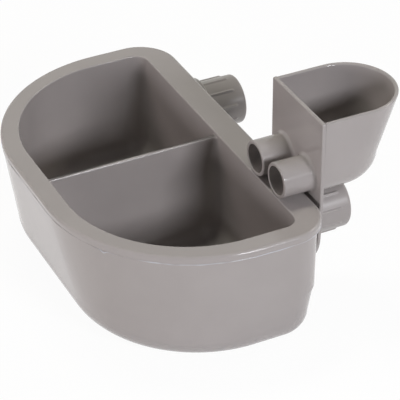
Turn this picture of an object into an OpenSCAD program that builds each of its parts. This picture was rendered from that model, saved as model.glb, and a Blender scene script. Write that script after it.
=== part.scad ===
// Double kennel bowl: a two-compartment liner set in an outer shell, clamped to
// kennel wire by two studs with knobs, and filled from outside through a hopper.
// The divider lies in the plane X = 0, the flat back faces +Y, and the base stands on Z = 0.

/* [Rim] */
// Length of the rim, end to end
rim_w = 246; // [210:1:300]
// Depth of the body at the rim, front to flat back
body_d = 140; // [130:1:180]
// Height of the rim above the floor
bowl_h = 79; // [74:1:100]
// Width of the flat flange round the front and the ends
flange_w = 13; // [12:0.5:18]
// How far the flange stands out past the flat back
back_overhang = 5; // [3:0.5:7]
// Thickness of the flange
flange_t = 3; // [2:0.1:4]
// Height of the turned-down lip
lip_h = 5; // [4.5:0.1:8]
// Thickness of the turned-down lip
lip_t = 1.6; // [1.2:0.1:2]
// Radius of the rim's rounded top edge
rim_edge_r = 2; // [0.5:0.1:2.5]
// Radius of the rim's front corners
rim_front_r = 96; // [80:1:100]
// Radius of the rim's back corners
rim_back_r = 26; // [22:1:34]

/* [Liner] */
// Wall thickness of the liner
liner_t = 2.5; // [1.8:0.1:3]
// Gap between the liner's underside and the shell's base
floor_gap = 4.3; // [2:0.1:8]
// Radius of the compartments' front corners at the rim
inner_front_r = 79; // [60:1:90]
// Radius of the compartments' back corners at the rim
inner_back_r = 9; // [5:0.5:14]
// Radius of the compartments' back corners at the floor
floor_back_r = 15; // [8:0.5:20]
// Slope of the compartments' front wall, in degrees
inner_front_draft = 9; // [8:0.5:12]
// Slope of the compartments' end walls, in degrees
inner_side_draft = 3; // [1:0.5:5]
// Slope of the compartments' back wall, in degrees
inner_back_draft = 4; // [2:0.5:6]
// Radius between the compartments' walls and floor
floor_r = 12; // [6:0.5:16]
// Thickness of the divider at its top
divider_t = 2.4; // [1.6:0.1:4]
// Slope of the divider's faces, in degrees
divider_draft = 1; // [0.5:0.25:2]
// How far the divider's top lies below the rim
divider_drop = 1.8; // [1:0.1:4]
// Radius where the divider meets the front and back walls at the rim
divider_r = 2; // [1:0.5:6]
// The same radius at the floor
divider_floor_r = 12; // [4:0.5:14]

/* [Shell] */
// Wall thickness of the outer shell
shell_t = 3.2; // [2.8:0.1:4]
// Slope of the shell's front, in degrees
shell_front_draft = 10.5; // [8:0.5:11]
// Slope of the shell's ends, in degrees
shell_side_draft = 1.7; // [0.5:0.1:3]
// Slope of the shell's back below the pad, in degrees
shell_back_draft = 10; // [4:0.5:12]
// Radius of the shell's front corners just above the base
base_front_r = 83; // [60:1:90]
// Radius of the shell's back corners
shell_back_r = 20.5; // [18:0.5:26]
// Radius between the shell's walls and base
base_edge_r = 16; // [8:0.5:17]
// Distance from the rim to the lower edge of the upright pad on the back
pad_drop = 46; // [40:1:52]
// Depth of the step below the pad
pad_step = 1; // [0.5:0.1:2]
// Gap between the shell's upper edge and the lip that covers it
lip_gap = 0.2; // [0.1:0.05:0.4]

/* [Studs] */
// Distance of each stud from the rim's end
stud_inset = 55.5; // [48:0.5:62]
// Distance of the studs' axes below the rim
stud_drop = 24.5; // [22:0.5:27]
// Diameter of the studs
stud_d = 16; // [12:0.5:18]
// Reach of the studs past the boss face
stud_reach = 23.2; // [18:0.2:28]
// Width of the square neck that keeps a stud from turning
neck_w = 17; // [14:0.5:19]
// Width of the square stud head inside the shell
head_w = 23; // [20:0.5:25]
// Thickness of the stud head
head_t = 4; // [3:0.5:5]
// Diameter of the boss round each stud
boss_d = 27; // [26:0.5:32]
// Reach of the bosses past the flat back
boss_reach = 6.8; // [6.6:0.1:9]
// Gap round a stud in its boss
stud_gap = 0.1; // [0.05:0.05:0.2]

/* [Washers and knobs] */
// Diameter of the washers
washer_d = 40; // [36:1:46]
// Thickness of the washers
washer_t = 3; // [2:0.5:4]
// Gap round a stud in a washer or in the hopper plate
slip_gap = 0.4; // [0.3:0.1:0.8]
// Diameter of a knob without its ribs
knob_d = 33; // [28:0.2:36]
// Length of a knob's ribbed grip
grip_l = 19.5; // [12:0.5:21]
// Number of grip ribs
rib_count = 10; // [8:1:18]
// Width of a grip rib
rib_w = 3; // [2:0.2:4]
// Height of a grip rib
rib_rise = 1; // [0.5:0.1:1.2]
// Radius of a knob's rounded end edge
knob_edge_r = 2; // [1:0.5:4]
// Thickness of a knob's closed end
knob_end_t = 3; // [2:0.5:5]
// Space left between a stud's end and the knob's closed end
stud_end_gap = 3; // [1:0.5:6]
// Running gap between a stud and a knob's bore
thread_gap = 0.05; // [0.02:0.01:0.1]

/* [Hopper] */
// Width of the hopper and its plate
hopper_w = 62; // [59:1:75]
// Height of the hopper's top above the rim
hopper_top = 55.2; // [45:0.2:70]
// Reach of the hopper's top past the front of its plate
hopper_reach = 64.8; // [56:0.2:80]
// Thickness of the hopper's plate
plate_t = 2.2; // [2:0.1:4]
// Width of the plate's rounded lower end round the stud
tongue_w = 59; // [50:1:60]
// Wall thickness of the hopper's cup
cup_t = 2.6; // [2:0.1:3]
// Slope of the hopper's outer end, in degrees
end_slope = 20; // [10:0.5:22]
// Height of the hopper's underside above the rim
hopper_foot = 0.4; // [0.4:0.1:4]
// Radius between the hopper's walls and underside
foot_r = 18; // [8:0.5:19]
// How far the cup stays inside the outline of the plate
cup_inset = 0.3; // [0.2:0.1:0.6]
// Bore of the two filling tubes
tube_bore = 18; // [15:0.2:18.4]
// Wall thickness of the filling tubes
tube_t = 2.2; // [1.5:0.1:2.6]
// Gap between the two tubes, for one kennel wire
tube_gap = 4.5; // [4.2:0.1:5]
// Length of the filling tubes in front of the plate
tube_l = 20.5; // [12:0.5:24]
// Height of the tubes' bores above the hopper's floor
tube_sill = 0.4; // [0.3:0.1:1]
// Size of the sloped ring where a tube meets the plate
tube_collar = 2; // [1:0.1:2.2]

/* [Hidden] */
$fn = 64;

// Steps round a large corner, a small corner and a rounded edge
big_steps = 18;
small_steps = 7;
edge_steps = 4;
// Overlap that joins two bodies of one piece, and margin by which a cut clears a face
joint_overlap = 1;
cut_margin = 1;

half_w = rim_w / 2;
half_d = body_d / 2;
inner_half_w = half_w - flange_w;
inner_half_d = half_d - flange_w;
fillet_drop = bowl_h - base_edge_r;
liner_depth = bowl_h - shell_t - floor_gap - liner_t;
liner_fillet_drop = liner_depth - floor_r;
ledge_h = 2 * pad_step;

stud_x = half_w - stud_inset;
stud_z = bowl_h - stud_drop;
boss_y = half_d + boss_reach;
wall_inside_y = half_d - shell_t;
knob_bore_l = stud_reach - washer_t + stud_end_gap;
knob_l = knob_bore_l + knob_end_t;

plate_back_y = boss_y + plate_t;
cup_half_w = hopper_w / 2 - cup_inset;
cup_front_y = boss_y + plate_t / 2;
cup_top_z = bowl_h + hopper_top - cup_inset;
cup_foot_z = bowl_h + hopper_foot;
cup_end_y = boss_y + hopper_reach;
tube_r = tube_bore / 2 + tube_t;
tube_x = tube_r + tube_gap / 2;
tube_z = cup_foot_z + cup_t + tube_sill + tube_bore / 2;

plastic = [0.62, 0.6, 0.58];

function arc(cx, cy, r, from, to, steps) =
    [for (i = [0:steps]) let (a = from + (to - from) * i / steps) [cx + r * cos(a), cy + r * sin(a)]];

function lift(outline, z) = [for (p = outline) [p[0], p[1], z]];

function blend(a, b, share) = a + (b - a) * share;

// Outline of a rectangle with its own radius at each corner, counter-clockwise from the front left
function plan(x0, x1, y0, y1, front_left_r, front_right_r, back_right_r, back_left_r, front_steps, back_steps) =
    concat(
        arc(x0 + front_left_r, y0 + front_left_r, front_left_r, 180, 270, front_steps),
        arc(x1 - front_right_r, y0 + front_right_r, front_right_r, 270, 360, front_steps),
        arc(x1 - back_right_r, y1 - back_right_r, back_right_r, 0, 90, back_steps),
        arc(x0 + back_left_r, y1 - back_left_r, back_left_r, 90, 180, back_steps));

// Outline of the rim at a distance below its top, moved in by a distance; it leans in with the shell
function rim_plan(drop, inset) =
    let (x = half_w - drop * tan(shell_side_draft) - inset,
         front_r = blend(rim_front_r, base_front_r, drop / fillet_drop) - inset,
         back_r = rim_back_r - inset)
    plan(-x, x, drop * tan(shell_front_draft) + inset - half_d, half_d + back_overhang - inset,
         front_r, front_r, back_r, back_r, big_steps, small_steps);

// Where the shell's back wall lies at a distance below the rim: upright pad, then a step and a slope
function shell_back_y(drop) =
    drop <= pad_drop ? half_d : half_d - pad_step - (drop - pad_drop - ledge_h) * tan(shell_back_draft);

// Outline of the shell at a distance below the rim, moved in by a distance
function shell_plan(drop, inset) =
    let (x = half_w - drop * tan(shell_side_draft) - inset,
         front_r = blend(rim_front_r, base_front_r, drop / fillet_drop) - inset,
         back_r = shell_back_r - inset)
    plan(-x, x, drop * tan(shell_front_draft) + inset - half_d, shell_back_y(drop) - inset,
         front_r, front_r, back_r, back_r, big_steps, small_steps);

// Corner radius that stays above a small size when an outline moves in
function shrunk(r, inset) = max(r - inset, 1);

// Outline of both compartments together at a distance below the rim, moved out by the wall
function liner_plan(drop, inset) =
    let (x = inner_half_w - drop * tan(inner_side_draft) - inset,
         front_r = shrunk(inner_front_r - drop * tan(inner_front_draft), inset),
         back_r = shrunk(blend(inner_back_r, floor_back_r, drop / liner_depth), inset))
    plan(-x, x, drop * tan(inner_front_draft) + inset - inner_half_d,
         inner_half_d - drop * tan(inner_back_draft) - inset,
         front_r, front_r, back_r, back_r, big_steps, small_steps);

// Outline of the right compartment at a distance below the rim
function compartment_plan(drop, inset) =
    let (front_r = shrunk(inner_front_r - drop * tan(inner_front_draft), inset),
         back_r = shrunk(blend(inner_back_r, floor_back_r, drop / liner_depth), inset),
         near_r = shrunk(blend(divider_r, divider_floor_r, drop / liner_depth), inset))
    plan(divider_t / 2 + drop * tan(divider_draft) + inset,
         inner_half_w - drop * tan(inner_side_draft) - inset,
         drop * tan(inner_front_draft) + inset - inner_half_d,
         inner_half_d - drop * tan(inner_back_draft) - inset,
         near_r, front_r, back_r, near_r, big_steps, small_steps);

// Outline of the hopper's cup at a height, moved in by the wall at its sides and end
function cup_plan(z, side_inset, end_inset, front_y) =
    let (x = cup_half_w - side_inset,
         end_y = cup_end_y - (cup_top_z - z) * tan(end_slope) - end_inset,
         front_r = plate_t / 4)
    plan(stud_x - x, stud_x + x, front_y, end_y, front_r, front_r, x, x, small_steps, big_steps);

// Solid through a list of level rings with equal point counts, closed at the first and last ring
module loft(rings) {
    n = len(rings[0]);
    last = len(rings) - 1;
    sides = [for (i = [0:last - 1], j = [0:n - 1], half = [0:1])
        let (a = i * n + j, b = i * n + (j + 1) % n, c = a + n, d = b + n)
        half == 0 ? [a, c, d] : [a, d, b]];
    first_cap = [[for (j = [0:n - 1]) j]];
    last_cap = [[for (j = [n - 1:-1:0]) last * n + j]];
    polyhedron(points = [for (ring = rings) each ring], faces = concat(first_cap, sides, last_cap));
}

// Stands a shape that was drawn along +Z on a point, pointing along +Y
module along_y(x, y, z) {
    translate([x, y, z])
        rotate([-90, 0, 0])
            children();
}

// The liner's outside: walls, underside of the flange, turned-down lip and rounded rim
module liner_blank() {
    outer_floor_r = floor_r + liner_t;
    loft(concat(
        [for (i = [0:edge_steps])
            let (a = 90 - 90 * i / edge_steps)
            lift(liner_plan(liner_fillet_drop, outer_floor_r * (1 - cos(a)) - liner_t),
                 bowl_h - liner_fillet_drop - outer_floor_r * sin(a))],
        [lift(liner_plan(flange_t, -liner_t), bowl_h - flange_t),
         lift(rim_plan(flange_t, lip_t), bowl_h - flange_t),
         lift(rim_plan(lip_h, lip_t), bowl_h - lip_h),
         lift(rim_plan(lip_h, 0), bowl_h - lip_h)],
        [for (i = [0:edge_steps])
            let (a = 90 * i / edge_steps, drop = rim_edge_r * (1 - sin(a)))
            lift(rim_plan(drop, rim_edge_r * (1 - cos(a))), bowl_h - drop)]));
}

// Space inside one compartment, with rounded floor edges, open at the top
module compartment_space() {
    loft(concat(
        [for (i = [0:edge_steps])
            let (a = 90 - 90 * i / edge_steps)
            lift(compartment_plan(liner_fillet_drop, floor_r * (1 - cos(a))),
                 bowl_h - liner_fillet_drop - floor_r * sin(a))],
        [lift(compartment_plan(-cut_margin, 0), bowl_h + cut_margin)]));
}

// Inner moulding: two compartments with a thin divider, a flat flange and a lip
module bowl_liner() {
    slot_w = divider_t + 4 * divider_r;
    slot_d = body_d - 2 * flange_w + 2 * cup_inset;
    color(plastic)
        difference() {
            liner_blank();
            compartment_space();
            mirror([1, 0, 0])
                compartment_space();
            translate([-slot_w / 2, -slot_d / 2, bowl_h - divider_drop])
                cube([slot_w, slot_d, divider_drop + cut_margin]);
        }
}

// The shell's hollow wall: base, rounded edge, sloped sides, back pad and the rebate under the lip
module shell_wall() {
    inner_edge_r = base_edge_r - shell_t;
    rebate = lip_t + lip_gap;
    top_drop = flange_t + lip_gap;
    loft(concat(
        [for (i = [0:edge_steps])
            let (a = 90 - 90 * i / edge_steps)
            lift(shell_plan(fillet_drop, base_edge_r * (1 - cos(a))), base_edge_r * (1 - sin(a)))],
        [for (drop = [pad_drop + ledge_h, pad_drop, lip_h]) lift(shell_plan(drop, 0), bowl_h - drop)],
        [lift(shell_plan(lip_h, rebate), bowl_h - lip_h),
         lift(shell_plan(top_drop, rebate), bowl_h - top_drop),
         lift(shell_plan(top_drop, shell_t), bowl_h - top_drop)],
        [for (drop = [pad_drop, pad_drop + ledge_h]) lift(shell_plan(drop, shell_t), bowl_h - drop)],
        [for (i = [0:edge_steps])
            let (a = 90 * i / edge_steps)
            lift(shell_plan(fillet_drop, shell_t + inner_edge_r * (1 - cos(a))),
                 base_edge_r - inner_edge_r * sin(a))]));
}

// Outer moulding with a flat base and a boss round each stud
module outer_shell() {
    hole_w = neck_w + 2 * stud_gap;
    color(plastic)
        difference() {
            union() {
                shell_wall();
                for (side = [-1, 1])
                    along_y(side * stud_x, half_d - joint_overlap, stud_z)
                        cylinder(d = boss_d, h = boss_reach + joint_overlap);
            }
            for (side = [-1, 1]) {
                translate([side * stud_x - hole_w / 2, wall_inside_y - cut_margin, stud_z - hole_w / 2])
                    cube([hole_w, shell_t + cut_margin, hole_w]);
                along_y(side * stud_x, wall_inside_y, stud_z)
                    cylinder(d = stud_d + 2 * stud_gap, h = shell_t + boss_reach + cut_margin);
            }
        }
}

// Stud with a square head inside the shell and a square neck in its wall
module stud(side) {
    x = side * stud_x;
    color(plastic)
        union() {
            translate([x - head_w / 2, wall_inside_y - head_t, stud_z - head_w / 2])
                cube([head_w, head_t, head_w]);
            translate([x - neck_w / 2, wall_inside_y - head_t / 2, stud_z - neck_w / 2])
                cube([neck_w, shell_t + head_t / 2, neck_w]);
            along_y(x, wall_inside_y, stud_z)
                cylinder(d = stud_d, h = shell_t + boss_reach + stud_reach);
        }
}

module stud_left() {
    stud(-1);
}

module stud_right() {
    stud(1);
}

// Flat washer that a knob presses on, at a distance past the boss face
module washer(side, stand_off) {
    color(plastic)
        along_y(side * stud_x, boss_y + stand_off, stud_z)
            linear_extrude(washer_t)
                difference() {
                    circle(d = washer_d);
                    circle(d = stud_d + 2 * slip_gap);
                }
}

module washer_left() {
    washer(-1, 0);
}

module washer_right() {
    washer(1, plate_t);
}

// Half section of a knob: closed end with a rounded edge, and the bore for the stud
module knob_section() {
    difference() {
        union() {
            square([knob_d / 2, knob_l - knob_edge_r]);
            square([knob_d / 2 - knob_edge_r, knob_l]);
            translate([knob_d / 2 - knob_edge_r, knob_l - knob_edge_r])
                intersection() {
                    circle(r = knob_edge_r);
                    square(knob_edge_r);
                }
        }
        translate([0, -cut_margin])
            square([stud_d / 2 + thread_gap, knob_bore_l + cut_margin]);
    }
}

// Cap knob with a ribbed grip and a smooth end, at a distance past the boss face
module knob(side, stand_off) {
    color(plastic)
        along_y(side * stud_x, boss_y + stand_off, stud_z)
            union() {
                rotate_extrude()
                    knob_section();
                for (i = [0:rib_count - 1])
                    rotate(360 * i / rib_count - 90)
                        translate([knob_d / 2 - rib_w / 2, -rib_w / 2, 0])
                            cube([rib_w / 2 + rib_rise, rib_w, grip_l]);
            }
}

module knob_left() {
    knob(-1, washer_t);
}

module knob_right() {
    knob(1, plate_t + washer_t);
}

// Cup of the hopper: sides that curve into a sloping round end, a rounded underside and a flat floor
module hopper_cup() {
    fillet_z = cup_foot_z + foot_r;
    inner_r = foot_r - cup_t;
    inner_front_y = plate_back_y - cup_inset;
    loft(concat(
        [for (i = [0:edge_steps])
            let (a = 90 - 90 * i / edge_steps, inset = foot_r * (1 - cos(a)))
            lift(cup_plan(fillet_z, inset, inset, cup_front_y), fillet_z - foot_r * sin(a))],
        [lift(cup_plan(cup_top_z, 0, 0, cup_front_y), cup_top_z),
         lift(cup_plan(cup_top_z, cup_t, cup_t, inner_front_y), cup_top_z)],
        [for (i = [0:edge_steps])
            let (a = 90 * i / edge_steps, inset = cup_t + inner_r * (1 - cos(a)))
            lift(cup_plan(fillet_z, inset, inset, inner_front_y), fillet_z - inner_r * sin(a))]));
}

// Outline of the plate: upright sides above the rim, then a taper to a half round about the stud
module plate_outline() {
    hull() {
        circle(d = tongue_w);
        translate([-hopper_w / 2, stud_drop])
            square([hopper_w, hopper_top]);
    }
}

// Filler: a cup that is filled from outside the kennel, with two tubes that reach over the rim
module filler_hopper() {
    color(plastic)
        difference() {
            union() {
                translate([stud_x, plate_back_y, stud_z])
                    rotate([90, 0, 0])
                        linear_extrude(plate_t)
                            plate_outline();
                hopper_cup();
                for (side = [-1, 1])
                    translate([stud_x + side * tube_x, cup_front_y, tube_z])
                        rotate([90, 0, 0]) {
                            cylinder(r = tube_r, h = tube_l + plate_t / 2);
                            translate([0, 0, plate_t / 2])
                                cylinder(r1 = tube_r + tube_collar, r2 = tube_r - tube_t / 4, h = tube_collar);
                        }
            }
            for (side = [-1, 1])
                along_y(stud_x + side * tube_x, boss_y - tube_l - cut_margin, tube_z)
                    cylinder(d = tube_bore, h = tube_l + plate_t + 2 * cut_margin);
            along_y(stud_x, boss_y - cut_margin, stud_z)
                cylinder(d = stud_d + 2 * slip_gap, h = plate_t + 2 * cut_margin);
        }
}

bowl_liner();
outer_shell();
stud_left();
stud_right();
washer_left();
washer_right();
knob_left();
knob_right();
filler_hopper();
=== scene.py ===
"""Looks of the double kennel bowl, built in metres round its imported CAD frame."""
import math

import bmesh
import bpy
import numpy as np
from mathutils import Matrix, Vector
from mathutils.geometry import delaunay_2d_cdt


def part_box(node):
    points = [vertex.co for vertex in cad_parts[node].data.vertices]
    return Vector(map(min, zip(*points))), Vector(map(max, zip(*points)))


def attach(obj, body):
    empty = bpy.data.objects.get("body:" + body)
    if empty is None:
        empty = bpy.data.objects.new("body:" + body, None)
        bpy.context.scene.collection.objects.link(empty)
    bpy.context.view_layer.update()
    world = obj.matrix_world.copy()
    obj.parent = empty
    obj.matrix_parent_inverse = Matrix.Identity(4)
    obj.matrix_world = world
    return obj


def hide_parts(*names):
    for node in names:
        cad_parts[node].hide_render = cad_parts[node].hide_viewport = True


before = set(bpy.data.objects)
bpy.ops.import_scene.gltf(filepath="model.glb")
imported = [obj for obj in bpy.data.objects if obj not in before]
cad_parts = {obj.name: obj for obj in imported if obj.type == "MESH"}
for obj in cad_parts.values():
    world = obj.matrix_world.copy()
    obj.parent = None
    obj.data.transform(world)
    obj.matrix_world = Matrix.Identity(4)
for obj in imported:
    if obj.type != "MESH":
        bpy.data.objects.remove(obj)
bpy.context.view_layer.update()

# Liner
# The inner moulding: one deep D-shaped basin with a flat flange round its mouth and a short lip
# turned down at the flange's edge. Injection moulded in warm grey plastic, semi-gloss.
mm = 0.001


def slope(degrees):
    """How far a leaning wall runs sideways for each unit of height."""
    return math.tan(math.radians(degrees))


liner_low, liner_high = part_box("bowl_liner")
rim_z = liner_high.z
rim_back_y = liner_high.y
flange_width = 13 * mm
flange_thickness = 3 * mm
lip_height = 5 * mm
lip_thickness = 1.6 * mm
rim_edge_r = 2 * mm
lip_edge_r = 0.4 * mm
mouth_edge_r = 0.9 * mm
rim_front_r = 96 * mm
rim_back_r = 26 * mm
base_front_r = 83 * mm
base_edge_r = 16 * mm
base_edge_drop = rim_z - base_edge_r
wall_front_slope = slope(10.5)
wall_end_slope = slope(1.7)
half_width = liner_high.x + rim_edge_r * wall_end_slope
half_depth = rim_edge_r * wall_front_slope - liner_low.y
liner_thickness = 2.5 * mm
basin_depth = rim_z - liner_low.z - liner_thickness
basin_floor_z = rim_z - basin_depth
mouth_half_width = half_width - flange_width
mouth_half_depth = half_depth - flange_width
mouth_front_r = 79 * mm
mouth_back_r = 9 * mm
floor_back_r = 15 * mm
floor_r = 12 * mm
floor_edge_drop = basin_depth - floor_r
under_floor_r = floor_r + liner_thickness
basin_front_slope = slope(9)
basin_end_slope = slope(3)
basin_back_slope = slope(4)
outside_levels = 12
inside_levels = 24

# Angles of a quarter turn, and the two shares of the radius that carry an edge round it
quarter = np.linspace(0, math.pi / 2, num=9)
falling = 1 - np.sin(quarter)
rising = 1 - np.cos(quarter)


def plan_rings(height, x0, x1, y0, y1, radii, arc_steps=32, run_steps=12):
    """Level rings. At each height a rectangle whose corners, from the front left round to the back
    left, are quarter circles of their own radius, joined by evenly divided straight runs."""
    sizes = np.broadcast_arrays(*[np.asarray(v, float) for v in (height, x0, x1, y0, y1, *radii)])
    height, x0, x1, y0, y1 = [v.reshape(-1, 1) for v in sizes[:5]]
    r = [v.reshape(-1, 1) for v in sizes[5:]]
    centres_x = [x0 + r[0], x1 - r[1], x1 - r[2], x0 + r[3]]
    centres_y = [y0 + r[0], y0 + r[1], y1 - r[2], y1 - r[3]]
    turn = np.linspace(0, math.pi / 2, arc_steps + 1)
    share = (np.arange(1, run_steps) / run_steps)[None, :, None]
    arcs = []
    for k in range(4):
        angle = math.pi + k * math.pi / 2 + turn
        arc_x = centres_x[k] + r[k] * np.cos(angle)
        arc_y = centres_y[k] + r[k] * np.sin(angle)
        arcs.append(np.stack([arc_x, arc_y], 2))
    runs = []
    for k in range(4):
        start = arcs[k][:, -1:]
        end = arcs[(k + 1) % 4][:, :1]
        runs.append(start + (end - start) * share)
    outline = np.concatenate([part for pair in zip(arcs, runs) for part in pair], 1)
    level = np.broadcast_to(height[:, :, None], outline.shape[:2] + (1,))
    return np.concatenate([outline, level], 2)


def grid_faces(rows, columns, loop_rows, loop_columns):
    """Quads between neighbours of a grid, joined up at the ends of rows or columns where asked."""
    i = np.arange(rows if loop_rows else rows - 1)[:, None]
    j = np.arange(columns if loop_columns else columns - 1)[None, :]
    here = i * columns
    ahead = ((i + 1) % rows) * columns
    beside = (j + 1) % columns
    return np.stack([here + j, here + beside, ahead + beside, ahead + j], -1).reshape(-1, 4)


def enclosed_volume(points, faces):
    """Signed volume: the sum of the tetrahedra from the origin to each face's triangles."""
    total = 0.0
    for k in range(1, faces.shape[1] - 1):
        a, b, c = points[faces[:, 0]], points[faces[:, k]], points[faces[:, k + 1]]
        total += np.einsum("ij,ij->", a, np.cross(b, c)) / 6
    return total


def new_piece(name, points, faces):
    """A mesh object at the origin with smooth faces, where large flat faces keep their normal."""
    mesh = bpy.data.meshes.new(name)
    mesh.from_pydata(points.tolist(), [], faces)
    mesh.shade_smooth()
    piece = bpy.data.objects.new(name, mesh)
    bpy.context.scene.collection.objects.link(piece)
    weight = piece.modifiers.new("flat_faces_first", "WEIGHTED_NORMAL")
    weight.mode = "FACE_AREA"
    return piece


def ring_solid(name, rings):
    """Closed solid through a stack of rings: each ring joins the next, and a point in the middle of
    the first and of the last ring closes the ends."""
    count, around, _ = rings.shape
    points = np.concatenate([rings.reshape(-1, 3), rings[:1].mean(1), rings[-1:].mean(1)])
    sides = grid_faces(count, around, False, True)
    j = np.arange(around)
    k = (j + 1) % around
    first = np.stack([np.full(around, count * around), k, j], 1)
    top = (count - 1) * around
    last = np.stack([np.full(around, count * around + 1), top + j, top + k], 1)
    caps = np.concatenate([first, last])
    if enclosed_volume(points, sides) + enclosed_volume(points, caps) < 0:
        sides = sides[:, ::-1]
        caps = caps[:, ::-1]
    return new_piece(name, points, sides.tolist() + caps.tolist())


def wall_rings(drop, inset, level, back_y, back_r):
    """The bowl's outer outline at a drop below the rim, moved in by an inset. Its front and ends lean
    in with their slopes as far as a level, and its front corners tighten on the way."""
    drop, inset, level = [np.asarray(v, float) for v in (drop, inset, level)]
    half = half_width - level * wall_end_slope - inset
    front_y = level * wall_front_slope + inset - half_depth
    front_r = rim_front_r + (base_front_r - rim_front_r) * level / base_edge_drop - inset
    back_r = back_r - inset
    radii = [front_r, front_r, back_r, back_r]
    return plan_rings(rim_z - drop, -half, half, front_y, back_y - inset, radii)


def rim_rings(drop, inset):
    """The rim's outline at a drop below its top, moved in by an inset. It leans in with the shell's
    wall, so that the lip lies flush with the wall below it."""
    return wall_rings(drop, inset, drop, rim_back_y, rim_back_r)


def basin_rings(drop, inset, wall_drop=math.inf):
    """The basin's outline at a drop, moved in by an inset; its walls lean in as they go down, its
    front corners tighten with the slope and its back corners open. wall_drop holds the outline's
    own level where a rounded edge carries it on."""
    drop, inset = [np.asarray(v, float) for v in (drop, inset)]
    level = np.minimum(drop, wall_drop)
    smallest = 1 * mm
    front_r = np.maximum(mouth_front_r - level * basin_front_slope - inset, smallest)
    back_r = mouth_back_r + (floor_back_r - mouth_back_r) * level / basin_depth
    back_r = np.maximum(back_r - inset, smallest)
    half = mouth_half_width - level * basin_end_slope - inset
    front_y = level * basin_front_slope + inset - mouth_half_depth
    back_y = mouth_half_depth - level * basin_back_slope - inset
    radii = [front_r, front_r, back_r, back_r]
    return plan_rings(rim_z - drop, -half, half, front_y, back_y, radii)


basin = ring_solid("liner_basin", np.concatenate([
    basin_rings(floor_edge_drop + under_floor_r * np.cos(quarter),
                under_floor_r * falling - liner_thickness, floor_edge_drop),
    basin_rings(np.linspace(floor_edge_drop, flange_thickness, outside_levels), -liner_thickness),
    rim_rings([flange_thickness, lip_height - lip_edge_r], lip_thickness),
    rim_rings(lip_height - lip_edge_r * falling, lip_thickness - lip_edge_r * rising),
    rim_rings(lip_height - lip_edge_r * rising, lip_edge_r * falling),
    rim_rings(rim_edge_r * falling, rim_edge_r * rising),
    basin_rings(mouth_edge_r * rising, -mouth_edge_r * falling),
    basin_rings(np.linspace(mouth_edge_r, floor_edge_drop, inside_levels)[1:], 0),
    basin_rings(floor_edge_drop + floor_r * np.sin(quarter[1:]), floor_r * rising[1:],
                floor_edge_drop),
]))


def moulded_plastic(name, tint, roughness, grain):
    """Semi-gloss moulded plastic. A broad soft noise mottles the colour a little and a finer one
    the gloss, and a very fine noise bumps the surface like the skin of a moulding."""
    refraction = 1.49
    shine = 0.45
    mottle_share = 0.035
    mottle_from = 0.3
    mottle_to = 0.7
    gloss_share = 0.05
    skin_depth = 0.05 * mm
    material = bpy.data.materials.new(name)
    material.use_nodes = True
    nodes = material.node_tree.nodes
    links = material.node_tree.links
    shader = nodes["Principled BSDF"]
    shader.inputs["IOR"].default_value = refraction
    shader.inputs["Specular IOR Level"].default_value = shine
    place = nodes.new("ShaderNodeTexCoord")

    def noise(per_metre, layers):
        """A noise over the piece's own place, with so many blots to the metre and finer layers."""
        texture = nodes.new("ShaderNodeTexNoise")
        texture.inputs["Scale"].default_value = per_metre
        texture.inputs["Detail"].default_value = layers
        links.new(place.outputs["Object"], texture.inputs["Vector"])
        return texture.outputs["Fac"]

    shades = nodes.new("ShaderNodeValToRGB")
    low, high = shades.color_ramp.elements
    low.position = mottle_from
    high.position = mottle_to
    low.color = [c * (1 - mottle_share) for c in tint] + [1]
    high.color = [min(c * (1 + mottle_share), 1) for c in tint] + [1]
    links.new(noise(per_metre=28, layers=4), shades.inputs["Fac"])
    links.new(shades.outputs["Color"], shader.inputs["Base Color"])

    spread = nodes.new("ShaderNodeMapRange")
    spread.inputs["To Min"].default_value = roughness - gloss_share
    spread.inputs["To Max"].default_value = roughness + gloss_share
    links.new(noise(per_metre=90, layers=3), spread.inputs["Value"])
    links.new(spread.outputs["Result"], shader.inputs["Roughness"])

    bump = nodes.new("ShaderNodeBump")
    bump.inputs["Strength"].default_value = grain
    bump.inputs["Distance"].default_value = skin_depth
    links.new(noise(per_metre=1600, layers=2), bump.inputs["Height"])
    links.new(bump.outputs["Normal"], shader.inputs["Normal"])
    return material


warm_grey = (0.345, 0.318, 0.31)
liner_plastic = moulded_plastic("liner_plastic", warm_grey, roughness=0.15, grain=0.05)


def dull_floor(material, dull_z, glossy_z, dull_shine):
    """Takes most of the shine off a material below one height and leaves it whole above another,
    with a smooth step between them."""
    nodes = material.node_tree.nodes
    links = material.node_tree.links
    shader = nodes["Principled BSDF"]
    height = nodes.new("ShaderNodeSeparateXYZ")
    links.new(nodes["Texture Coordinate"].outputs["Object"], height.inputs["Vector"])
    shine = nodes.new("ShaderNodeMapRange")
    shine.interpolation_type = "SMOOTHSTEP"
    shine.inputs["From Min"].default_value = dull_z
    shine.inputs["From Max"].default_value = glossy_z
    shine.inputs["To Min"].default_value = dull_shine
    shine.inputs["To Max"].default_value = shader.inputs["Specular IOR Level"].default_value
    links.new(height.outputs["Z"], shine.inputs["Value"])
    links.new(shine.outputs["Result"], shader.inputs["Specular IOR Level"])


dull_floor(liner_plastic, dull_z=basin_floor_z + 12 * mm, glossy_z=basin_floor_z + 32 * mm,
           dull_shine=0.05)


def dress(piece, material, body, slot, *nodes):
    """Gives a piece its material, sets it on its body, and hides the CAD nodes it stands for."""
    piece.data.materials.append(material)
    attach(piece, body)
    if nodes:
        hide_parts(*nodes)


dress(basin, liner_plastic, "bowl", "bowl_plastic", "bowl_liner")

# Divider
# A thin moulded wall across the basin, part of the liner. Its top is rounded and lies a little
# below the rim; its foot swells into the floor in the same round as the basin's own walls.
divider_thickness = 2.4 * mm
divider_slope = slope(1)
divider_drop = 1.8 * mm
divider_top_r = 1.2 * mm
divider_top_corner_r = 2 * mm
divider_foot_corner_r = 12 * mm
divider_least_corner_r = 0.2 * mm
divider_bite = 0.4 * mm
divider_skirt = 1 * mm
divider_skirt_drop = 0.1 * mm


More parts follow.
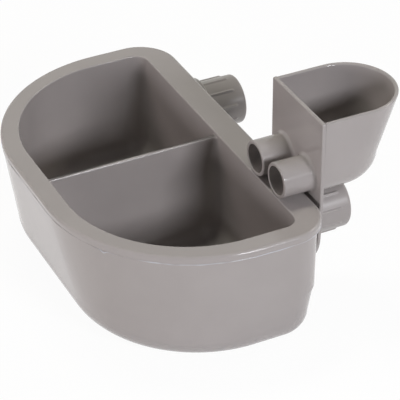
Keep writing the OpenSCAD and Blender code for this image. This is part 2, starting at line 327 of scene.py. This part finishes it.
def rounded_corner(distance, radius):
    """How far a round of this radius stands out at a distance from the face that it runs into."""
    inside = np.clip(radius - distance, 0, radius)
    return radius - np.sqrt(radius**2 - inside**2)


def divider_rings(stations, foot_levels, face_levels):
    """Level outlines of the divider, from a skirt just under the floor up over the rounded top: along
    the right face to the back and along the left face to the front. The half thickness grows
    downwards, over the floor's round, and by a round at the front and back walls that opens towards
    the floor. Stations lie closer together near those walls."""
    foot = np.linspace(math.pi / 2, 0, foot_levels)
    face = np.linspace(floor_edge_drop, divider_drop + divider_top_r, face_levels)[1:]
    over = quarter[1:-1]
    drop = np.concatenate([
        [basin_depth + divider_skirt_drop],
        floor_edge_drop + floor_r * np.sin(foot),
        face,
        divider_drop + divider_top_r * (1 - np.sin(over)),
    ])[:, None]
    floor_round = np.concatenate([
        [floor_r + divider_skirt],
        floor_r * (1 - np.cos(foot)),
        0 * face,
        0 * over,
    ])[:, None]
    narrowing = np.concatenate([[1], 1 + 0 * foot, 1 + 0 * face, np.cos(over)])[:, None]
    along = (0.5 - 0.5 * np.cos(np.linspace(0, math.pi, stations)))[None, :]
    level = np.minimum(drop, floor_edge_drop)
    front = level * basin_front_slope + floor_round - mouth_half_depth
    back = mouth_half_depth - level * basin_back_slope - floor_round
    y = front - divider_bite + (back - front + 2 * divider_bite) * along
    opening = (divider_foot_corner_r - divider_top_corner_r) * level / floor_edge_drop
    corner_r = divider_top_corner_r + opening - floor_round
    corner_r = np.maximum(corner_r, divider_least_corner_r)
    wall_round = rounded_corner(np.minimum(y - front, back - y), corner_r)
    half = narrowing * (divider_thickness / 2 + level * divider_slope + floor_round + wall_round)
    x = np.concatenate([half, -half[:, ::-1]], 1)
    y = np.concatenate([y, y[:, ::-1]], 1)
    return np.stack([x, y, np.broadcast_to(rim_z - drop, x.shape)], 2)


divider = ring_solid("divider", divider_rings(stations=121, foot_levels=17, face_levels=30))
dress(divider, liner_plastic, "bowl", "bowl_plastic")

# Outer shell
# The outer moulding that hides the liner: a sloped round front, nearly upright ends, an upright pad
# across the back for the clamp, and a flat base. The liner's lip closes down on its upper edge.
shell_thickness = 3.2 * mm
shell_back_slope = slope(10)
shell_back_r = 20.5 * mm
pad_drop = 46 * mm
pad_step = 1 * mm
pad_margin = 1 * mm
ledge_height = 2 * pad_step
shoulder_r = 0.4 * mm
lip_gap = 0.2 * mm
inner_edge_r = base_edge_r - shell_thickness
rebate = lip_thickness + lip_gap
shell_top_drop = flange_thickness + lip_gap
bowl_plastic = moulded_plastic("bowl_plastic", warm_grey, roughness=0.14, grain=0.05)


def soft_step(share):
    """Goes from 0 to 1 with a soft start and end: three squares of the share less two cubes."""
    share = np.clip(share, 0, 1)
    return share * share * (3 - 2 * share)


def shell_back_y(drop):
    """The back wall: upright down to the pad's lower edge, then a soft step in and a slope."""
    step = soft_step((drop - pad_drop) / ledge_height)
    lean = np.maximum(drop - pad_drop - ledge_height, 0) * shell_back_slope
    return half_depth - pad_step * step - lean


def shell_rings(drop, inset, wall_drop=math.inf):
    """The shell's outline at a drop, moved in by an inset. wall_drop holds the outline's own level
    where a rounded edge carries it on."""
    level = np.minimum(drop, wall_drop)
    return wall_rings(drop, inset, level, shell_back_y(level), shell_back_r)


pad_drops = np.linspace(pad_drop - pad_margin, pad_drop + ledge_height + pad_margin, num=9)
lower_drops = np.linspace(base_edge_drop, pad_drops[-1], num=8)[:-1]
upper_drops = np.linspace(pad_drops[0], lip_height + shoulder_r, num=12)[1:]
outside_drops = np.concatenate([lower_drops, pad_drops[::-1], upper_drops])
inside_drops = np.concatenate([[shell_top_drop], outside_drops[::-1]])
shell = ring_solid("outer_shell_wall", np.concatenate([
    shell_rings(base_edge_drop + base_edge_r * np.cos(quarter[:-1]), base_edge_r * falling[:-1],
                base_edge_drop),
    shell_rings(outside_drops, 0),
    shell_rings(lip_height + shoulder_r * falling[1:], shoulder_r * rising[1:]),
    shell_rings([lip_height, shell_top_drop], rebate),
    shell_rings(inside_drops, shell_thickness),
    shell_rings(base_edge_drop + inner_edge_r * np.sin(quarter[1:]),
                shell_thickness + inner_edge_r * rising[1:], base_edge_drop),
]))
dress(shell, bowl_plastic, "bowl", "bowl_plastic", "outer_shell")

# Seam
# The lip is welded to the shell's upper edge. A fine uneven bead of plastic stands out along the
# joint: it swells and thins, wanders up and down a little, and dips once near the front corner.
bead_r = 0.36 * mm
bead_sink = 0.15 * mm
bead_wander = 0.22 * mm
bead_unevenness = 0.4
swell_waves = ((0.5, 19, 0), (0.3, 47, 1), (0.2, 113, 2))
wander_waves = ((0.6, 13, 2), (0.4, 41, 0))
dip_x = 78 * mm
dip_depth = 1.3 * mm
dip_length = 1.6 * mm
# The bead's colour is painted lighter and bluish from the front corner round the end, at the dip and
# in faint spells elsewhere: a painted highlight along the seam, set by the numbers below.
highlight_from_x = 95 * mm
highlight_run = 6 * mm
painted_highlight_tint = (0.48, 0.48, 0.52)
spell_waves = ((0.3, 190, 130), (0.2, 700, 400))


def looped_solid(name, rings):
    """Closed solid through rings that join up at their ends, like a hoop."""
    points = rings.reshape(-1, 3)
    faces = grid_faces(rings.shape[0], rings.shape[1], True, True)
    if enclosed_volume(points, faces) < 0:
        faces = faces[:, ::-1]
    return new_piece(name, points, faces.tolist())


def wave_sum(turn, waves):
    """A sum of sines over a turn, each with its share, its count round the turn and its start."""
    return sum(share * np.sin(count * turn + start) for share, count, start in waves)


def seam_rings(steps, around):
    """Circles strung along the joint. Sums of sines over its length make the bead's radius and its
    height uneven, and a bell curve over x makes the dip at the front."""
    path = rim_rings([lip_height], 0)[0]
    path = np.concatenate([path, path[:1]])
    length = np.concatenate([[0], np.cumsum(np.linalg.norm(np.diff(path, axis=0), axis=1))])
    at = np.linspace(0, length[-1], steps, endpoint=False)
    line = np.stack([np.interp(at, length, path[:, k]) for k in range(3)], 1)
    ahead = np.roll(line, -1, 0) - np.roll(line, 1, 0)
    outward = np.stack([ahead[:, 1], -ahead[:, 0], 0 * at], 1)
    outward /= np.linalg.norm(outward, axis=1, keepdims=True)
    turn = 2 * math.pi * at / length[-1]
    swell = wave_sum(turn, swell_waves)
    wander = wave_sum(turn, wander_waves)
    dip = dip_depth * np.exp(-((line[:, 0] - dip_x) / dip_length) ** 2) * (line[:, 1] < 0)
    line = line - outward * bead_sink
    line[:, 2] -= bead_wander * wander + dip
    radius = (bead_r * (1 + bead_unevenness * swell))[:, None, None]
    angle = np.linspace(0, 2 * math.pi, around, endpoint=False)[None, :, None]
    up = np.array([0, 0, 1])
    return line[:, None] + radius * (np.cos(angle) * outward[:, None] + np.sin(angle) * up)


def highlight_share(points):
    """How much painted highlight the bead gets, from 0 to 1: most from the front corner round
    the end and in a short spell at the dip, and in faint spells elsewhere. The spells are sines of
    x and y, one long and one short."""
    least = 0.2
    most = 1.1
    faint = 0.2
    x, y = points[:, 0], points[:, 1]
    corner = soft_step((x - highlight_from_x) / highlight_run)
    at_dip = np.exp(-((x - dip_x) / (2 * dip_length)) ** 2) * (y < 0)
    spells = 0.5 + sum(share * np.sin(x * by_x + y * by_y) for share, by_x, by_y in spell_waves)
    highlight_level = np.maximum(corner, at_dip) * (least + (most - least) * spells)
    return np.clip(highlight_level + faint * spells, 0, 1)


seam_points = seam_rings(steps=1500, around=10)
seam = looped_solid("seam_bead", seam_points)
# Each point of the bead carries its share of painted highlight, read by the bead's material.
highlight_paint = seam.data.attributes.new("highlight_paint", "FLOAT", "POINT")
highlight_paint.data.foreach_set("value", highlight_share(seam_points.reshape(-1, 3)))
bead_plastic = moulded_plastic("weld_bead", warm_grey, roughness=0.2, grain=0.05)
nodes = bead_plastic.node_tree.nodes
links = bead_plastic.node_tree.links
# The bead's colour ramp runs from the plain grey to a light bluish grey: the painted highlight.
plain_end, highlight_end = nodes["Color Ramp"].color_ramp.elements
plain_end.position = 0
plain_end.color = (*warm_grey, 1)
highlight_end.position = 1
highlight_end.color = (*painted_highlight_tint, 1)
amount = nodes.new("ShaderNodeAttribute")
amount.attribute_name = "highlight_paint"
links.new(amount.outputs["Fac"], nodes["Color Ramp"].inputs["Fac"])
dress(seam, bead_plastic, "bowl", "bowl_plastic")

# Bosses
# A short round pillar on the shell's back round each stud, moulded with the shell. Its flat face is
# what the kennel wire is pressed against, and it stands a little proud of the rim's back edge.
boss_r = 13.5 * mm
boss_face_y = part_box("outer_shell")[1].y
boss_root_y = half_depth - shell_thickness
boss_foot_y = half_depth - 0.05 * mm
boss_foot_r = 2 * mm
boss_skirt_r = boss_r + 2 * boss_foot_r
boss_edge_r = 0.8 * mm
stud_r = 8 * mm
boss_bore_r = stud_r + 0.1 * mm


def rounded_profile(corners, steps=6):
    """A closed outline through corners (radius, y, rounding): each corner is replaced by the arc of
    its rounding that touches both sides, found by turning from one touching point to the other."""
    tiny = 1e-9
    points = np.array([c[:2] for c in corners], float)
    rounding = np.array([c[2] for c in corners], float)[:, None]
    to_last = np.roll(points, 1, 0) - points
    to_next = np.roll(points, -1, 0) - points
    to_last /= np.linalg.norm(to_last, axis=1, keepdims=True)
    to_next /= np.linalg.norm(to_next, axis=1, keepdims=True)
    half_angle = np.arccos(np.clip((to_last * to_next).sum(1, keepdims=True), -1, 1)) / 2
    reach = rounding / np.tan(half_angle)
    middle = to_last + to_next
    middle /= np.maximum(np.linalg.norm(middle, axis=1, keepdims=True), tiny)
    centre = points + middle * rounding / np.sin(half_angle)
    start = points + to_last * reach - centre
    end = points + to_next * reach - centre
    sweep = math.pi - 2 * half_angle
    share = np.linspace(0, 1, steps + 1)
    from_start = (np.sin((1 - share) * sweep) / np.sin(sweep))[:, :, None]
    from_end = (np.sin(share * sweep) / np.sin(sweep))[:, :, None]
    arcs = centre[:, None] + from_start * start[:, None] + from_end * end[:, None]
    sharp = rounding[:, 0] == 0
    return np.concatenate([points[k:k + 1] if sharp[k] else arcs[k] for k in range(len(corners))])


def turned_rings(radius, y, centre_x, centre_z, around=96):
    """Circles about an axis along Y, one for each radius and place. A radius may also vary round
    its circle."""
    angle = np.linspace(0, 2 * math.pi, around, endpoint=False)[None, :]
    radius = np.asarray(radius, float)
    radius = radius[:, None] if radius.ndim == 1 else radius
    x = centre_x + radius * np.sin(angle)
    z = centre_z + radius * np.cos(angle)
    return np.stack([x, np.broadcast_to(y[:, None], x.shape), z], 2)


def turned_ring(name, corners, centre_x, centre_z):
    """A turned piece with a hole: a closed outline of radius and y carried round the axis."""
    outline = rounded_profile(corners)
    return looped_solid(name, turned_rings(outline[:, 0], outline[:, 1], centre_x, centre_z))


stud_axes = {}
for side in ("left", "right"):
    low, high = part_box("stud_" + side)
    stud_axes[side] = ((low.x + high.x) / 2, (low.z + high.z) / 2)
    boss = turned_ring("boss_" + side, [
        (boss_bore_r, boss_root_y, 0),
        (boss_skirt_r, boss_root_y, 0),
        (boss_skirt_r, boss_foot_y, 0),
        (boss_r, boss_foot_y, boss_foot_r),
        (boss_r, boss_face_y, boss_edge_r),
        (boss_bore_r, boss_face_y, boss_edge_r / 2),
    ], *stud_axes[side])
    dress(boss, bowl_plastic, "bowl", "bowl_plastic")

# Studs
# Coarse-threaded plastic studs that stand out of the bosses. A square head and neck inside the shell
# keep each from turning when its knob is screwed on.
clamp_grey = (0.322, 0.297, 0.289)
clamp_plastic = moulded_plastic("clamp_plastic", clamp_grey, roughness=0.3, grain=0.1)
thread_pitch = 3 * mm
thread_depth = 1.3 * mm
thread_flat = 0.22
stud_point_r = 1.2 * mm
shank_root_y = boss_face_y - 1 * mm
neck_end_y = boss_face_y - 0.5 * mm
neck_half = 7.65 * mm
head_half = 11.5 * mm
head_corner_r = 1.5 * mm


def thread_radius(y, around, end_y):
    """The stud's radius along and round it: a trapezoid wave that climbs one pitch each turn, faded
    out at the root, with a small bevel at the end."""
    angle = np.linspace(0, 2 * math.pi, around, endpoint=False)[None, :]
    turns = (y[:, None] - shank_root_y) / thread_pitch
    phase = (turns - angle / (2 * math.pi)) % 1
    ramp = np.abs(2 * phase - 1)
    wave = np.clip((ramp - thread_flat) / (1 - 2 * thread_flat), 0, 1)
    fade_in = np.clip(turns, 0, 1)
    bevel = np.maximum(y[:, None] - (end_y - stud_point_r), 0)
    return np.minimum(stud_r - thread_depth * wave * fade_in, stud_r - bevel)


def stud_head_rings(head_y, centre_x, centre_z):
    """Squares with rounded corners one behind the other along Y: the head up to the inside of the
    wall, then the narrower neck into the boss."""
    y = [head_y, boss_root_y, boss_root_y, neck_end_y]
    half = np.array([head_half, head_half, neck_half, neck_half])
    flat = plan_rings(y, -half, half, -half, half, [head_corner_r] * 4, arc_steps=6, run_steps=4)
    return flat[:, :, [0, 2, 1]] + np.array([centre_x, 0, centre_z])


for side in ("left", "right"):
    low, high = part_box("stud_" + side)
    around = 72
    shank_y = np.linspace(shank_root_y, high.y, num=150)
    radius = thread_radius(shank_y, around, high.y)
    shank = turned_rings(radius, shank_y, *stud_axes[side], around)
    stud = ring_solid("stud_shank_" + side, shank)
    dress(stud, clamp_plastic, "bowl", "clamp_plastic", "stud_" + side)
    head = ring_solid("stud_head_" + side, stud_head_rings(low.y, *stud_axes[side]))
    dress(head, clamp_plastic, "bowl", "clamp_plastic")

# Hopper
# One moulding outside the kennel wire: an upright plate that tapers to a round end on the stud, a
# cup with a sloping round end to pour into, and two short tubes that lead over the bowl's rim.
hopper_low, hopper_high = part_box("filler_hopper")
hopper_x, hopper_stud_z = stud_axes["right"]
hopper_half = (hopper_high.x - hopper_low.x) / 2
hopper_plastic = moulded_plastic("hopper_plastic", warm_grey, roughness=0.1, grain=0.04)
plate_front_y = boss_face_y
plate_thickness = 2.2 * mm
plate_back_y = plate_front_y + plate_thickness
plate_edge_r = 0.8 * mm
plate_back_edge_r = 0.25 * mm
plate_corner_r = 1.5 * mm
plate_hole_r = stud_r + 0.4 * mm
hole_edge_r = 0.4 * mm
tongue_r = 29.5 * mm
cup_inset = 0.3 * mm
cup_half = hopper_half - cup_inset
cup_thickness = 2.6 * mm
cup_top_z = hopper_high.z - cup_inset
cup_foot_z = rim_z + 0.4 * mm
cup_foot_r = 18 * mm
cup_lip_r = 1.2 * mm
cup_end_y = hopper_high.y
cup_end_slope = slope(20)
cup_root_y = plate_back_y - 1 * mm
tube_bore_r = 9 * mm
tube_r = 11.2 * mm
tube_gap = 4.5 * mm
tube_sill = 0.4 * mm
tube_z = cup_foot_z + cup_thickness + tube_sill + tube_bore_r
tube_xs = [hopper_x + sign * (tube_r + tube_gap / 2) for sign in (-1, 1)]


def plate_outline(inset):
    """The plate seen from the front, moved in by an inset: a round end about the stud, tangents up to
    the shoulders at the rim's height, then a rectangle with small round corners, as x and z."""
    inset = np.atleast_1d(np.asarray(inset, float))[:, None]
    rise = rim_z - hopper_stud_z
    below = math.acos(tongue_r / math.hypot(hopper_half, rise)) - math.atan2(rise, hopper_half)
    round_end = np.linspace(math.pi + below, 2 * math.pi - below, num=65)[None, :]
    right = quarter[None, :]
    left = right + math.pi / 2
    radius = tongue_r - inset
    half = hopper_half - inset
    corner_r = plate_corner_r - inset
    corner_x = half - corner_r
    corner_z = hopper_high.z - plate_corner_r + 0 * inset
    shoulder_z = rim_z + 0 * inset
    x = np.concatenate([
        radius * np.cos(round_end),
        half,
        corner_x + corner_r * np.cos(right),
        -corner_x + corner_r * np.cos(left),
        -half,
    ], 1)
    z = np.concatenate([
        hopper_stud_z + radius * np.sin(round_end),
        shoulder_z,
        corner_z + corner_r * np.sin(right),
        corner_z + corner_r * np.sin(left),
        shoulder_z,
    ], 1)
    return np.stack([hopper_x + x, z], 2)


def edge_stack(outline, front_r, back_r, outward):
    """Rings that round the plate's front edge, cross its thickness and round its back edge. outline
    gives the ring for an inset, and outward is -1 where the edge is that of a hole."""
    inset = outward * np.concatenate([front_r * falling, back_r * rising])
    y = np.concatenate([plate_front_y + front_r * rising, plate_back_y - back_r * falling])
    flat = outline(inset)
    depth = np.broadcast_to(y[:, None], flat.shape[:2])
    return np.stack([flat[:, :, 0], depth, flat[:, :, 1]], 2)


def hole_outline(centre_x, centre_z, radius, around=64):
    """A function that gives the ring of a round hole for an inset."""
    angle = np.linspace(0, 2 * math.pi, around, endpoint=False)[None, :]

    def ring(inset):
        """The hole's circle, with its radius made smaller by the inset."""
        r = radius - np.asarray(inset, float)[:, None]
        return np.stack([centre_x + r * np.cos(angle), centre_z + r * np.sin(angle)], 2)

    return ring


def flat_faces(loops, holes):
    """Triangles that fill a flat face between its outer loop and its round holes."""
    inside_only = 1
    same_point = 1e-7
    points = np.concatenate(loops)
    edges = []
    start = 0
    for loop in loops:
        index = np.arange(len(loop))
        edges += np.stack([start + index, start + (index + 1) % len(loop)], 1).tolist()
        start += len(loop)
    found, _, triangles, *_ = delaunay_2d_cdt(points.tolist(), edges, [], inside_only, same_point)
    found = np.array([tuple(p) for p in found])
    triangles = np.array(triangles)
    middle = found[triangles].mean(1)
    keep = np.ones(len(triangles), bool)
    for hole_x, hole_z, hole_r in holes:
        keep &= np.hypot(middle[:, 0] - hole_x, middle[:, 1] - hole_z) > hole_r
    return found, triangles[keep]


def closed_piece(name, points, faces):
    """A new piece whose doubled points are joined and whose faces then all point outwards."""
    same_point = 0.002 * mm
    piece = new_piece(name, points, faces)
    shape = bmesh.new()
    shape.from_mesh(piece.data)
    bmesh.ops.remove_doubles(shape, verts=shape.verts, dist=same_point)
    bmesh.ops.recalc_face_normals(shape, faces=shape.faces)
    shape.to_mesh(piece.data)
    shape.free()
    return piece


def hopper_plate():
    """The plate: its rounded edge, the walls of its holes, and the two flat faces between them."""
    holes = [(tube_x, tube_z, tube_bore_r) for tube_x in tube_xs]
    holes.append((hopper_x, hopper_stud_z, plate_hole_r))
    stacks = [edge_stack(plate_outline, plate_edge_r, plate_back_edge_r, 1)]
    stacks += [edge_stack(hole_outline(*hole), hole_edge_r, hole_edge_r, -1) for hole in holes]
    points, faces = [], []
    count = 0
    for k, stack in enumerate(stacks):
        quads = grid_faces(stack.shape[0], stack.shape[1], False, True)
        faces += ((quads if k == 0 else quads[:, ::-1]) + count).tolist()
        points.append(stack.reshape(-1, 3))
        count += points[-1].shape[0]
    for end, y in ((0, plate_front_y), (-1, plate_back_y)):
        found, triangles = flat_faces([stack[end][:, [0, 2]] for stack in stacks], holes)
        order = triangles if end == 0 else triangles[:, ::-1]
        faces += (order + count).tolist()
        points.append(np.stack([found[:, 0], np.full(len(found), y), found[:, 1]], 1))
        count += len(found)
    return closed_piece("hopper_plate", np.concatenate(points), faces)


plate = hopper_plate()
dress(plate, hopper_plastic, "hopper", "hopper_plastic", "filler_hopper")


def cup_rings(z, inset, wall_z):
    """Open U-shaped rings of the cup: up one side from the plate, round a half circle, back down the
    other side. The end slopes with the wall's height, and an inset moves the whole outline in."""
    z, inset, wall_z = [np.atleast_1d(np.asarray(v, float))[:, None] for v in (z, inset, wall_z)]
    z, inset, wall_z = np.broadcast_arrays(z, inset, wall_z)
    half = np.maximum(cup_half - inset, 0)
    centre_y = cup_end_y - (cup_top_z - wall_z) * cup_end_slope - inset - half
    run = np.linspace(0, 1, num=17)[None, :-1]
    turn = np.linspace(math.pi, 0, num=65)[None, :]
    side_y = cup_root_y + (centre_y - cup_root_y) * run
    x = np.concatenate([-half + 0 * run, half * np.cos(turn), half + 0 * run], 1) + hopper_x
    y = np.concatenate([side_y, centre_y + half * np.sin(turn), side_y[:, ::-1]], 1)
    return np.stack([x, y, np.broadcast_to(z, x.shape)], 2)


def hopper_cup():
    """The cup: under side from its middle line out, rounded foot, wall, rounded lip, then the inside
    down to the middle line of its floor. The flat ends lie inside the plate."""
    middle = cup_half
    part_way = 0.7 * cup_half
    fillet_z = cup_foot_z + cup_foot_r
    inner_r = cup_foot_r - cup_thickness
    lip_z = cup_top_z - cup_lip_r
    lip_out = lip_z + cup_lip_r * np.sin(quarter[1:])
    lip_in = lip_z + cup_lip_r * np.cos(quarter)
    wall = np.linspace(fillet_z, lip_z, num=16)
    rings = np.concatenate([
        cup_rings(cup_foot_z, [middle, part_way], fillet_z),
        cup_rings(fillet_z - cup_foot_r * np.cos(quarter), cup_foot_r * falling, fillet_z),
        cup_rings(wall[1:], 0, wall[1:]),
        cup_rings(lip_out, cup_lip_r * rising[1:], lip_out),
        cup_rings(lip_in, cup_thickness - cup_lip_r * falling, lip_in),
        cup_rings(wall[-2::-1], cup_thickness, wall[-2::-1]),
        cup_rings(fillet_z - inner_r * np.sin(quarter[1:]), cup_thickness + inner_r * rising[1:],
                  fillet_z),
        cup_rings(fillet_z - inner_r, [part_way, middle], fillet_z),
    ])
    count, across, _ = rings.shape
    faces = grid_faces(count, across, False, False)[:, ::-1].tolist()
    faces.append((np.arange(count) * across).tolist())
    faces.append((np.arange(count)[::-1] * across + across - 1).tolist())
    return closed_piece("hopper_cup", rings.reshape(-1, 3), faces)


cup = hopper_cup()
dress(cup, hopper_plastic, "hopper", "hopper_plastic")

tube_mouth_y = hopper_low.y
tube_mouth_r = 0.9 * mm
tube_bore_edge_r = 0.4 * mm
tube_root_y = plate_front_y + 1.3 * mm
tube_root_r = tube_bore_r + 0.8 * mm
tube_bore_end_y = plate_front_y + 0.2 * mm
collar_y = plate_front_y + 0.05 * mm
collar_fillet_r = 2.4 * mm
collar_r = tube_r + 1.5 * collar_fillet_r
for side, tube_x in zip(("left", "right"), tube_xs):
    tube = turned_ring("filling_tube_" + side, [
        (tube_root_r, tube_root_y, 0),
        (tube_bore_r, tube_bore_end_y, 0),
        (tube_bore_r, tube_mouth_y, tube_bore_edge_r),
        (tube_r, tube_mouth_y, tube_mouth_r),
        (tube_r, collar_y, collar_fillet_r),
        (collar_r, collar_y, 0),
        (collar_r, tube_root_y, 0),
    ], tube_x, tube_z)
    dress(tube, hopper_plastic, "hopper", "hopper_plastic")

# Washers
# Flat moulded discs with rounded edges. The left one presses the kennel wire on its boss, the right
# one spreads its knob's load over the hopper's plate.
washer_edge_r = 0.9 * mm
washer_hole_r = plate_hole_r
for side in ("left", "right"):
    low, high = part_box("washer_" + side)
    washer_r = (high.x - low.x) / 2
    washer = turned_ring("washer_disc_" + side, [
        (washer_hole_r, low.y, hole_edge_r),
        (washer_r, low.y, washer_edge_r),
        (washer_r, high.y, washer_edge_r),
        (washer_hole_r, high.y, hole_edge_r),
    ], *stud_axes[side])
    dress(washer, clamp_plastic, side + "_washer", "clamp_plastic", "washer_" + side)

# Knobs
# Cap nuts turned by hand: a ribbed grip next to the washer, then a plain band and a closed end with
# a rounded edge. The ribs are moulded in and run out softly before the end.
knob_r = 16.5 * mm
knob_bore_r = stud_r + 0.05 * mm
knob_mouth_r = 0.5 * mm
knob_edge_r = 2 * mm
knob_end = 3 * mm
grip_length = 19.5 * mm
rib_count = 10
rib_rise = 0.8 * mm
rib_sharpness = 24
rib_fade = 1.2 * mm
rib_margin = 0.6 * mm


def knob_section(low_y, high_y):
    """Rows of radius and y from the middle of the closed bore out to the mouth, round its edge, along
    the grip, and over the rounded end to the middle of the cap."""
    bore_end_y = high_y - knob_end
    bore_middle_r = 0.5 * knob_bore_r
    cap_middle_r = 0.4 * knob_r
    grip_y = np.linspace(low_y + knob_mouth_r, high_y - knob_edge_r, num=32)[1:-1]
    return np.concatenate([
        [[bore_middle_r, bore_end_y], [knob_bore_r, bore_end_y]],
        [[knob_bore_r, low_y + knob_mouth_r], [knob_bore_r + knob_mouth_r, low_y]],
        np.stack([knob_r - knob_mouth_r * falling, low_y + knob_mouth_r * rising], 1),
        np.stack([np.full(len(grip_y), knob_r), grip_y], 1),
        np.stack([knob_r - knob_edge_r * rising, high_y - knob_edge_r * falling], 1),
        [[cap_middle_r, high_y]],
    ])


def ribbed_radius(section, low_y, around):
    """The section's radius at each angle: narrow ridges, a power of a cosine, stand out of the grip's
    outside. They fade in at the mouth and out at the grip's end."""
    angle = np.linspace(0, 2 * math.pi, around, endpoint=False)[None, :]
    ridge = (0.5 + 0.5 * np.cos(rib_count * angle)) ** rib_sharpness
    along = section[:, 1:] - low_y
    on_outside = section[:, :1] > knob_r - rib_margin
    fade_out = np.clip((grip_length - along) / rib_fade, 0, 1)
    fade_in = np.clip(along / knob_mouth_r, 0, 1)
    return section[:, :1] + rib_rise * ridge * soft_step(fade_out * fade_in * on_outside)


for side in ("left", "right"):
    low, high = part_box("knob_" + side)
    around = 280
    section = knob_section(low.y, high.y)
    radius = ribbed_radius(section, low.y, around)
    knob_rings = turned_rings(radius, section[:, 1], *stud_axes[side], around)
    knob = ring_solid("knob_cap_" + side, knob_rings)
    dress(knob, clamp_plastic, side + "_knob", "clamp_plastic", "knob_" + side)

# Floor, light and camera
# A white floor and surround as in a packshot, a key light beyond the bowl's right end with five
# softer or smaller ones, and a long lens that looks down from beyond the bowl's right front corner.
white = (1, 1, 1, 1)


def seen_as_white(tree, lit, glow, share):
    """Mixes two shaders by the kind of ray. One that comes from the camera or from a glossy or clear
    surface sees a share of the glow; the rays that carry light on see only what is lit."""
    nodes = tree.nodes
    links = tree.links
    ray = nodes.new("ShaderNodeLightPath")
    seen = ray.outputs["Is Camera Ray"]
    for kind in ("Is Glossy Ray", "Is Transmission Ray"):
        either = nodes.new("ShaderNodeMath")
        either.operation = "MAXIMUM"
        links.new(seen, either.inputs[0])
        links.new(ray.outputs[kind], either.inputs[1])
        seen = either.outputs["Value"]
    scaled = nodes.new("ShaderNodeMath")
    scaled.operation = "MULTIPLY"
    scaled.inputs[1].default_value = share
    links.new(seen, scaled.inputs[0])
    mix = nodes.new("ShaderNodeMixShader")
    links.new(scaled.outputs["Value"], mix.inputs["Fac"])
    links.new(lit, mix.inputs[1])
    links.new(glow, mix.inputs[2])
    return mix.outputs["Shader"]


floor_reach = 6
floor_square = ((-1, -1), (1, -1), (1, 1), (-1, 1))
floor_corners = [(x * floor_reach, y * floor_reach, 0) for x, y in floor_square]
floor_mesh = bpy.data.meshes.new("floor")
floor_mesh.from_pydata(floor_corners, [], [(0, 1, 2, 3)])
floor = bpy.data.objects.new("floor", floor_mesh)
bpy.context.scene.collection.objects.link(floor)
paper = bpy.data.materials.new("white_paper")
paper.use_nodes = True
nodes = paper.node_tree.nodes
matte = nodes["Principled BSDF"]
matte.inputs["Base Color"].default_value = (0.92, 0.92, 0.92, 1)
matte.inputs["Roughness"].default_value = 0.9
glow = nodes.new("ShaderNodeEmission")
glow.inputs["Color"].default_value = white
surface = seen_as_white(paper.node_tree, lit=matte.outputs["BSDF"],
                        glow=glow.outputs["Emission"], share=0.95)
paper.node_tree.links.new(surface, nodes["Material Output"].inputs["Surface"])
floor_mesh.materials.append(paper)

world = bpy.data.worlds.new("white_studio")
bpy.context.scene.world = world
world.use_nodes = True
nodes = world.node_tree.nodes
ambient = nodes["Background"]
ambient.inputs["Color"].default_value = white
ambient.inputs["Strength"].default_value = 0.03
glow = nodes.new("ShaderNodeBackground")
glow.inputs["Color"].default_value = white
glow.inputs["Strength"].default_value = 1
surface = seen_as_white(world.node_tree, lit=ambient.outputs["Background"],
                        glow=glow.outputs["Background"], share=1)
world.node_tree.links.new(surface, nodes["World Output"].inputs["Surface"])


def placed(right, up, back, place):
    """The matrix of a lamp or camera at a place, from its own three directions. It faces away from
    back."""
    matrix = np.eye(4)
    matrix[:3] = np.stack([right, up, back, place], 1)
    return Matrix(matrix.tolist())


lamp_distance = 1.6
lamp_target = np.array([20, 20, 60]) * mm


def soft_light(name, azimuth, elevation, width, height, power, tint, mirrored):
    """A rectangular lamp that faces the middle of the bowl from an azimuth, counted from +X towards
    +Y, and an elevation. One that isn't mirrored lights the plastic without a highlight of its own,
    like a much larger soft box."""
    lamp = bpy.data.lights.new(name, "AREA")
    lamp.shape = "RECTANGLE"
    lamp.size = width
    lamp.size_y = height
    lamp.energy = power
    lamp.color = tint
    light = bpy.data.objects.new(name, lamp)
    bpy.context.scene.collection.objects.link(light)
    azimuth = math.radians(azimuth)
    elevation = math.radians(elevation)
    right = np.array([-math.sin(azimuth), math.cos(azimuth), 0])
    outward = np.array([math.cos(azimuth), math.sin(azimuth), 0])
    back = outward * math.cos(elevation) + np.array([0, 0, math.sin(elevation)])
    place = lamp_target + back * lamp_distance
    light.matrix_world = placed(right, np.cross(back, right), back, place)
    light.visible_glossy = mirrored


soft_light("key_light", azimuth=15, elevation=25.5, width=0.46, height=0.28, power=16.6,
           tint=(0.95, 0.955, 1), mirrored=True)
soft_light("front_light", azimuth=-84, elevation=5, width=0.6, height=0.28, power=9.2,
           tint=(1, 0.97, 0.985), mirrored=False)
soft_light("strip_light", azimuth=-91, elevation=25, width=0.5, height=0.05, power=1,
           tint=(1, 0.97, 0.985), mirrored=True)
soft_light("left_light", azimuth=-120, elevation=30, width=0.6, height=0.35, power=3.6,
           tint=(1, 0.86, 0.83), mirrored=False)
soft_light("top_light", azimuth=180, elevation=70, width=0.6, height=0.35, power=10,
           tint=(1, 1, 0.88), mirrored=False)
soft_light("back_light", azimuth=90, elevation=42, width=0.6, height=0.35, power=3.4,
           tint=(1, 0.94, 0.88), mirrored=True)

view_azimuth = math.radians(63.91)
view_elevation = math.radians(34.19)
view_roll = math.radians(-0.25)
view_target = np.array([62.72, 15.04, 79.0]) * mm
view_distance = 1200 * mm
focal_pixels = 2016.6
frame_pixels = 400
outward = np.array([math.sin(view_azimuth), -math.cos(view_azimuth), 0])
back = outward * math.cos(view_elevation) + np.array([0, 0, math.sin(view_elevation)])
level = np.array([math.cos(view_azimuth), math.sin(view_azimuth), 0])
upright = np.cross(back, level)
right = level * math.cos(view_roll) + upright * math.sin(view_roll)
up = upright * math.cos(view_roll) - level * math.sin(view_roll)
lens = bpy.data.cameras.new("camera")
lens.sensor_width = 36
lens.lens = focal_pixels / frame_pixels * lens.sensor_width
lens.clip_start = 0.05
camera = bpy.data.objects.new("camera", lens)
bpy.context.scene.collection.objects.link(camera)
camera.matrix_world = placed(right, up, back, view_target + back * view_distance)
bpy.context.scene.camera = camera
bpy.context.scene.view_settings.view_transform = "Standard"
